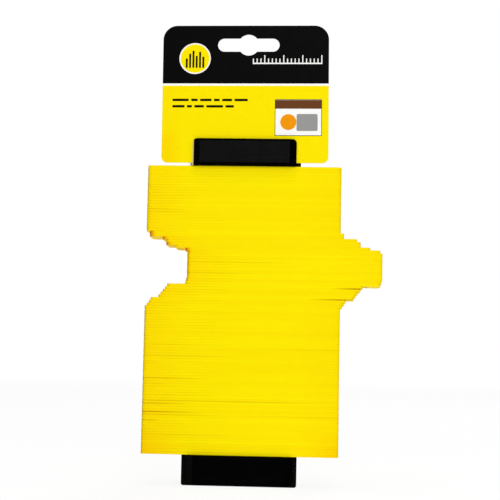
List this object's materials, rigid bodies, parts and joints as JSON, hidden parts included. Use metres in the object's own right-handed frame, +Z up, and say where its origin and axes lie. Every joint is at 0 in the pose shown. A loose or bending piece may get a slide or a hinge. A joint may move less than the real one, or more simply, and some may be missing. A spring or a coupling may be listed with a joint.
{
  "type": "contour gauge",
  "caption": "Contour gauge: thin yellow plastic leaves slide on tie bolts between black end caps and hold the profile of what they are pressed on; a slotted hang card hooks on the upper cap.",
  "frame": {"origin": "centre of the lower cap's foot face, on the stack's axis", "axes": "+Z up the stack of leaves, +X the way the leaves slide to the right, front faces -Y"},
  "size_m": [0.1233, 0.0203, 0.2404],
  "materials": {
    "leaf_plastic": "satin moulded",
    "cap_plastic": "fine moulded grain",
    "cover_plastic": "satin",
    "bolt_steel": "zinc plated",
    "spring_steel": "spring steel",
    "nut_steel": "zinc plated",
    "card_stock": "coated printed card"
  },
  "bodies": {
    "gauge_frame": {"lower_cap_body": "cap_plastic", "lower_cap_cover": "cover_plastic", "upper_cap_body": "cap_plastic", "upper_cap_cover": "cover_plastic", "tie_bolts": "bolt_steel", "spring_washers": "spring_steel", "lock_nuts": "nut_steel"},
    "hang_card": {"hang_card": "card_stock"},
    "leaf_pair_01": {"leaf_pair_01": "leaf_plastic"},
    "leaf_pair_02": {"leaf_pair_02": "leaf_plastic"},
    "leaf_pair_03": {"leaf_pair_03": "leaf_plastic"},
    "leaf_pair_04": {"leaf_pair_04": "leaf_plastic"},
    "leaf_pair_05": {"leaf_pair_05": "leaf_plastic"},
    "leaf_pair_06": {"leaf_pair_06": "leaf_plastic"},
    "leaf_pair_07": {"leaf_pair_07": "leaf_plastic"},
    "leaf_pair_08": {"leaf_pair_08": "leaf_plastic"},
    "leaf_pair_09": {"leaf_pair_09": "leaf_plastic"},
    "leaf_pair_10": {"leaf_pair_10": "leaf_plastic"},
    "leaf_pair_11": {"leaf_pair_11": "leaf_plastic"},
    "leaf_pair_12": {"leaf_pair_12": "leaf_plastic"},
    "leaf_pair_13": {"leaf_pair_13": "leaf_plastic"},
    "leaf_pair_14": {"leaf_pair_14": "leaf_plastic"},
    "leaf_pair_15": {"leaf_pair_15": "leaf_plastic"},
    "leaf_pair_16": {"leaf_pair_16": "leaf_plastic"},
    "leaf_pair_17": {"leaf_pair_17": "leaf_plastic"},
    "leaf_pair_18": {"leaf_pair_18": "leaf_plastic"},
    "leaf_pair_19": {"leaf_pair_19": "leaf_plastic"},
    "leaf_pair_20": {"leaf_pair_20": "leaf_plastic"},
    "leaf_pair_21": {"leaf_pair_21": "leaf_plastic"},
    "leaf_pair_22": {"leaf_pair_22": "leaf_plastic"},
    "leaf_pair_23": {"leaf_pair_23": "leaf_plastic"},
    "leaf_pair_24": {"leaf_pair_24": "leaf_plastic"},
    "leaf_pair_25": {"leaf_pair_25": "leaf_plastic"},
    "leaf_pair_26": {"leaf_pair_26": "leaf_plastic"},
    "leaf_pair_27": {"leaf_pair_27": "leaf_plastic"},
    "leaf_pair_28": {"leaf_pair_28": "leaf_plastic"},
    "leaf_pair_29": {"leaf_pair_29": "leaf_plastic"},
    "leaf_pair_30": {"leaf_pair_30": "leaf_plastic"},
    "leaf_pair_31": {"leaf_pair_31": "leaf_plastic"},
    "leaf_pair_32": {"leaf_pair_32": "leaf_plastic"},
    "leaf_pair_33": {"leaf_pair_33": "leaf_plastic"},
    "leaf_pair_34": {"leaf_pair_34": "leaf_plastic"},
    "leaf_pair_35": {"leaf_pair_35": "leaf_plastic"},
    "leaf_pair_36": {"leaf_pair_36": "leaf_plastic"},
    "leaf_pair_37": {"leaf_pair_37": "leaf_plastic"},
    "leaf_pair_38": {"leaf_pair_38": "leaf_plastic"},
    "leaf_pair_39": {"leaf_pair_39": "leaf_plastic"},
    "leaf_pair_40": {"leaf_pair_40": "leaf_plastic"},
    "leaf_pair_41": {"leaf_pair_41": "leaf_plastic"},
    "leaf_pair_42": {"leaf_pair_42": "leaf_plastic"},
    "leaf_pair_43": {"leaf_pair_43": "leaf_plastic"},
    "leaf_pair_44": {"leaf_pair_44": "leaf_plastic"},
    "leaf_pair_45": {"leaf_pair_45": "leaf_plastic"},
    "leaf_pair_46": {"leaf_pair_46": "leaf_plastic"},
    "leaf_pair_47": {"leaf_pair_47": "leaf_plastic"},
    "leaf_pair_48": {"leaf_pair_48": "leaf_plastic"},
    "leaf_pair_49": {"leaf_pair_49": "leaf_plastic"},
    "leaf_pair_50": {"leaf_pair_50": "leaf_plastic"},
    "leaf_pair_51": {"leaf_pair_51": "leaf_plastic"},
    "leaf_pair_52": {"leaf_pair_52": "leaf_plastic"}
  },
  "joints": [
    {"name": "hang_card_lift", "type": "slide", "parent": "gauge_frame", "child": "hang_card", "axis": [0, 0, 1], "range_m": [0, 0.06]},
    {"name": "leaf_pair_01_slide", "type": "slide", "parent": "gauge_frame", "child": "leaf_pair_01", "axis": [1, 0, 0], "range_m": [-0.0239, 0.0239]},
    {"name": "leaf_pair_02_slide", "type": "slide", "parent": "gauge_frame", "child": "leaf_pair_02", "axis": [1, 0, 0], "range_m": [-0.0239, 0.0239]},
    {"name": "leaf_pair_03_slide", "type": "slide", "parent": "gauge_frame", "child": "leaf_pair_03", "axis": [1, 0, 0], "range_m": [-0.0239, 0.0239]},
    {"name": "leaf_pair_04_slide", "type": "slide", "parent": "gauge_frame", "child": "leaf_pair_04", "axis": [1, 0, 0], "range_m": [-0.0239, 0.0239]},
    {"name": "leaf_pair_05_slide", "type": "slide", "parent": "gauge_frame", "child": "leaf_pair_05", "axis": [1, 0, 0], "range_m": [-0.0239, 0.0239]},
    {"name": "leaf_pair_06_slide", "type": "slide", "parent": "gauge_frame", "child": "leaf_pair_06", "axis": [1, 0, 0], "range_m": [-0.0239, 0.0239]},
    {"name": "leaf_pair_07_slide", "type": "slide", "parent": "gauge_frame", "child": "leaf_pair_07", "axis": [1, 0, 0], "range_m": [-0.0239, 0.0239]},
    {"name": "leaf_pair_08_slide", "type": "slide", "parent": "gauge_frame", "child": "leaf_pair_08", "axis": [1, 0, 0], "range_m": [-0.0239, 0.0239]},
    {"name": "leaf_pair_09_slide", "type": "slide", "parent": "gauge_frame", "child": "leaf_pair_09", "axis": [1, 0, 0], "range_m": [-0.0239, 0.0239]},
    {"name": "leaf_pair_10_slide", "type": "slide", "parent": "gauge_frame", "child": "leaf_pair_10", "axis": [1, 0, 0], "range_m": [-0.0239, 0.0239]},
    {"name": "leaf_pair_11_slide", "type": "slide", "parent": "gauge_frame", "child": "leaf_pair_11", "axis": [1, 0, 0], "range_m": [-0.024, 0.0239]},
    {"name": "leaf_pair_12_slide", "type": "slide", "parent": "gauge_frame", "child": "leaf_pair_12", "axis": [1, 0, 0], "range_m": [-0.0239, 0.0239]},
    {"name": "leaf_pair_13_slide", "type": "slide", "parent": "gauge_frame", "child": "leaf_pair_13", "axis": [1, 0, 0], "range_m": [-0.0257, 0.0222]},
    {"name": "leaf_pair_14_slide", "type": "slide", "parent": "gauge_frame", "child": "leaf_pair_14", "axis": [1, 0, 0], "range_m": [-0.0325, 0.0136]},
    {"name": "leaf_pair_15_slide", "type": "slide", "parent": "gauge_frame", "child": "leaf_pair_15", "axis": [1, 0, 0], "range_m": [-0.0344, 0.0085]},
    {"name": "leaf_pair_16_slide", "type": "slide", "parent": "gauge_frame", "child": "leaf_pair_16", "axis": [1, 0, 0], "range_m": [-0.0445, 0.0022]},
    {"name": "leaf_pair_17_slide", "type": "slide", "parent": "gauge_frame", "child": "leaf_pair_17", "axis": [1, 0, 0], "range_m": [-0.0456, 0.0023]},
    {"name": "leaf_pair_18_slide", "type": "slide", "parent": "gauge_frame", "child": "leaf_pair_18", "axis": [1, 0, 0], "range_m": [-0.0456, 0.0022]},
    {"name": "leaf_pair_19_slide", "type": "slide", "parent": "gauge_frame", "child": "leaf_pair_19", "axis": [1, 0, 0], "range_m": [-0.0456, 0.0022]},
    {"name": "leaf_pair_20_slide", "type": "slide", "parent": "gauge_frame", "child": "leaf_pair_20", "axis": [1, 0, 0], "range_m": [-0.0456, 0.0022]},
    {"name": "leaf_pair_21_slide", "type": "slide", "parent": "gauge_frame", "child": "leaf_pair_21", "axis": [1, 0, 0], "range_m": [-0.0452, 0.0023]},
    {"name": "leaf_pair_22_slide", "type": "slide", "parent": "gauge_frame", "child": "leaf_pair_22", "axis": [1, 0, 0], "range_m": [-0.0354, 0.0031]},
    {"name": "leaf_pair_23_slide", "type": "slide", "parent": "gauge_frame", "child": "leaf_pair_23", "axis": [1, 0, 0], "range_m": [-0.0332, 0.0135]},
    {"name": "leaf_pair_24_slide", "type": "slide", "parent": "gauge_frame", "child": "leaf_pair_24", "axis": [1, 0, 0], "range_m": [-0.0309, 0.0159]},
    {"name": "leaf_pair_25_slide", "type": "slide", "parent": "gauge_frame", "child": "leaf_pair_25", "axis": [1, 0, 0], "range_m": [-0.026, 0.021]},
    {"name": "leaf_pair_26_slide", "type": "slide", "parent": "gauge_frame", "child": "leaf_pair_26", "axis": [1, 0, 0], "range_m": [-0.0239, 0.0229]},
    {"name": "leaf_pair_27_slide", "type": "slide", "parent": "gauge_frame", "child": "leaf_pair_27", "axis": [1, 0, 0], "range_m": [-0.0239, 0.0239]},
    {"name": "leaf_pair_28_slide", "type": "slide", "parent": "gauge_frame", "child": "leaf_pair_28", "axis": [1, 0, 0], "range_m": [-0.024, 0.0239]},
    {"name": "leaf_pair_29_slide", "type": "slide", "parent": "gauge_frame", "child": "leaf_pair_29", "axis": [1, 0, 0], "range_m": [-0.0239, 0.0239]},
    {"name": "leaf_pair_30_slide", "type": "slide", "parent": "gauge_frame", "child": "leaf_pair_30", "axis": [1, 0, 0], "range_m": [-0.0239, 0.024]},
    {"name": "leaf_pair_31_slide", "type": "slide", "parent": "gauge_frame", "child": "leaf_pair_31", "axis": [1, 0, 0], "range_m": [-0.0239, 0.0239]},
    {"name": "leaf_pair_32_slide", "type": "slide", "parent": "gauge_frame", "child": "leaf_pair_32", "axis": [1, 0, 0], "range_m": [-0.024, 0.0239]},
    {"name": "leaf_pair_33_slide", "type": "slide", "parent": "gauge_frame", "child": "leaf_pair_33", "axis": [1, 0, 0], "range_m": [-0.0239, 0.0239]},
    {"name": "leaf_pair_34_slide", "type": "slide", "parent": "gauge_frame", "child": "leaf_pair_34", "axis": [1, 0, 0], "range_m": [-0.0239, 0.024]},
    {"name": "leaf_pair_35_slide", "type": "slide", "parent": "gauge_frame", "child": "leaf_pair_35", "axis": [1, 0, 0], "range_m": [-0.0239, 0.0239]},
    {"name": "leaf_pair_36_slide", "type": "slide", "parent": "gauge_frame", "child": "leaf_pair_36", "axis": [1, 0, 0], "range_m": [-0.024, 0.0239]},
    {"name": "leaf_pair_37_slide", "type": "slide", "parent": "gauge_frame", "child": "leaf_pair_37", "axis": [1, 0, 0], "range_m": [-0.0239, 0.0239]},
    {"name": "leaf_pair_38_slide", "type": "slide", "parent": "gauge_frame", "child": "leaf_pair_38", "axis": [1, 0, 0], "range_m": [-0.0239, 0.0239]},
    {"name": "leaf_pair_39_slide", "type": "slide", "parent": "gauge_frame", "child": "leaf_pair_39", "axis": [1, 0, 0], "range_m": [-0.0239, 0.0239]},
    {"name": "leaf_pair_40_slide", "type": "slide", "parent": "gauge_frame", "child": "leaf_pair_40", "axis": [1, 0, 0], "range_m": [-0.0239, 0.0239]},
    {"name": "leaf_pair_41_slide", "type": "slide", "parent": "gauge_frame", "child": "leaf_pair_41", "axis": [1, 0, 0], "range_m": [-0.0239, 0.0239]},
    {"name": "leaf_pair_42_slide", "type": "slide", "parent": "gauge_frame", "child": "leaf_pair_42", "axis": [1, 0, 0], "range_m": [-0.0239, 0.0239]},
    {"name": "leaf_pair_43_slide", "type": "slide", "parent": "gauge_frame", "child": "leaf_pair_43", "axis": [1, 0, 0], "range_m": [-0.0239, 0.0239]},
    {"name": "leaf_pair_44_slide", "type": "slide", "parent": "gauge_frame", "child": "leaf_pair_44", "axis": [1, 0, 0], "range_m": [-0.0239, 0.0239]},
    {"name": "leaf_pair_45_slide", "type": "slide", "parent": "gauge_frame", "child": "leaf_pair_45", "axis": [1, 0, 0], "range_m": [-0.0239, 0.0239]},
    {"name": "leaf_pair_46_slide", "type": "slide", "parent": "gauge_frame", "child": "leaf_pair_46", "axis": [1, 0, 0], "range_m": [-0.0239, 0.0239]},
    {"name": "leaf_pair_47_slide", "type": "slide", "parent": "gauge_frame", "child": "leaf_pair_47", "axis": [1, 0, 0], "range_m": [-0.0239, 0.024]},
    {"name": "leaf_pair_48_slide", "type": "slide", "parent": "gauge_frame", "child": "leaf_pair_48", "axis": [1, 0, 0], "range_m": [-0.0239, 0.0239]},
    {"name": "leaf_pair_49_slide", "type": "slide", "parent": "gauge_frame", "child": "leaf_pair_49", "axis": [1, 0, 0], "range_m": [-0.024, 0.0239]},
    {"name": "leaf_pair_50_slide", "type": "slide", "parent": "gauge_frame", "child": "leaf_pair_50", "axis": [1, 0, 0], "range_m": [-0.0239, 0.0239]},
    {"name": "leaf_pair_51_slide", "type": "slide", "parent": "gauge_frame", "child": "leaf_pair_51", "axis": [1, 0, 0], "range_m": [-0.0239, 0.024]},
    {"name": "leaf_pair_52_slide", "type": "slide", "parent": "gauge_frame", "child": "leaf_pair_52", "axis": [1, 0, 0], "range_m": [-0.0239, 0.0239]}
  ]
}
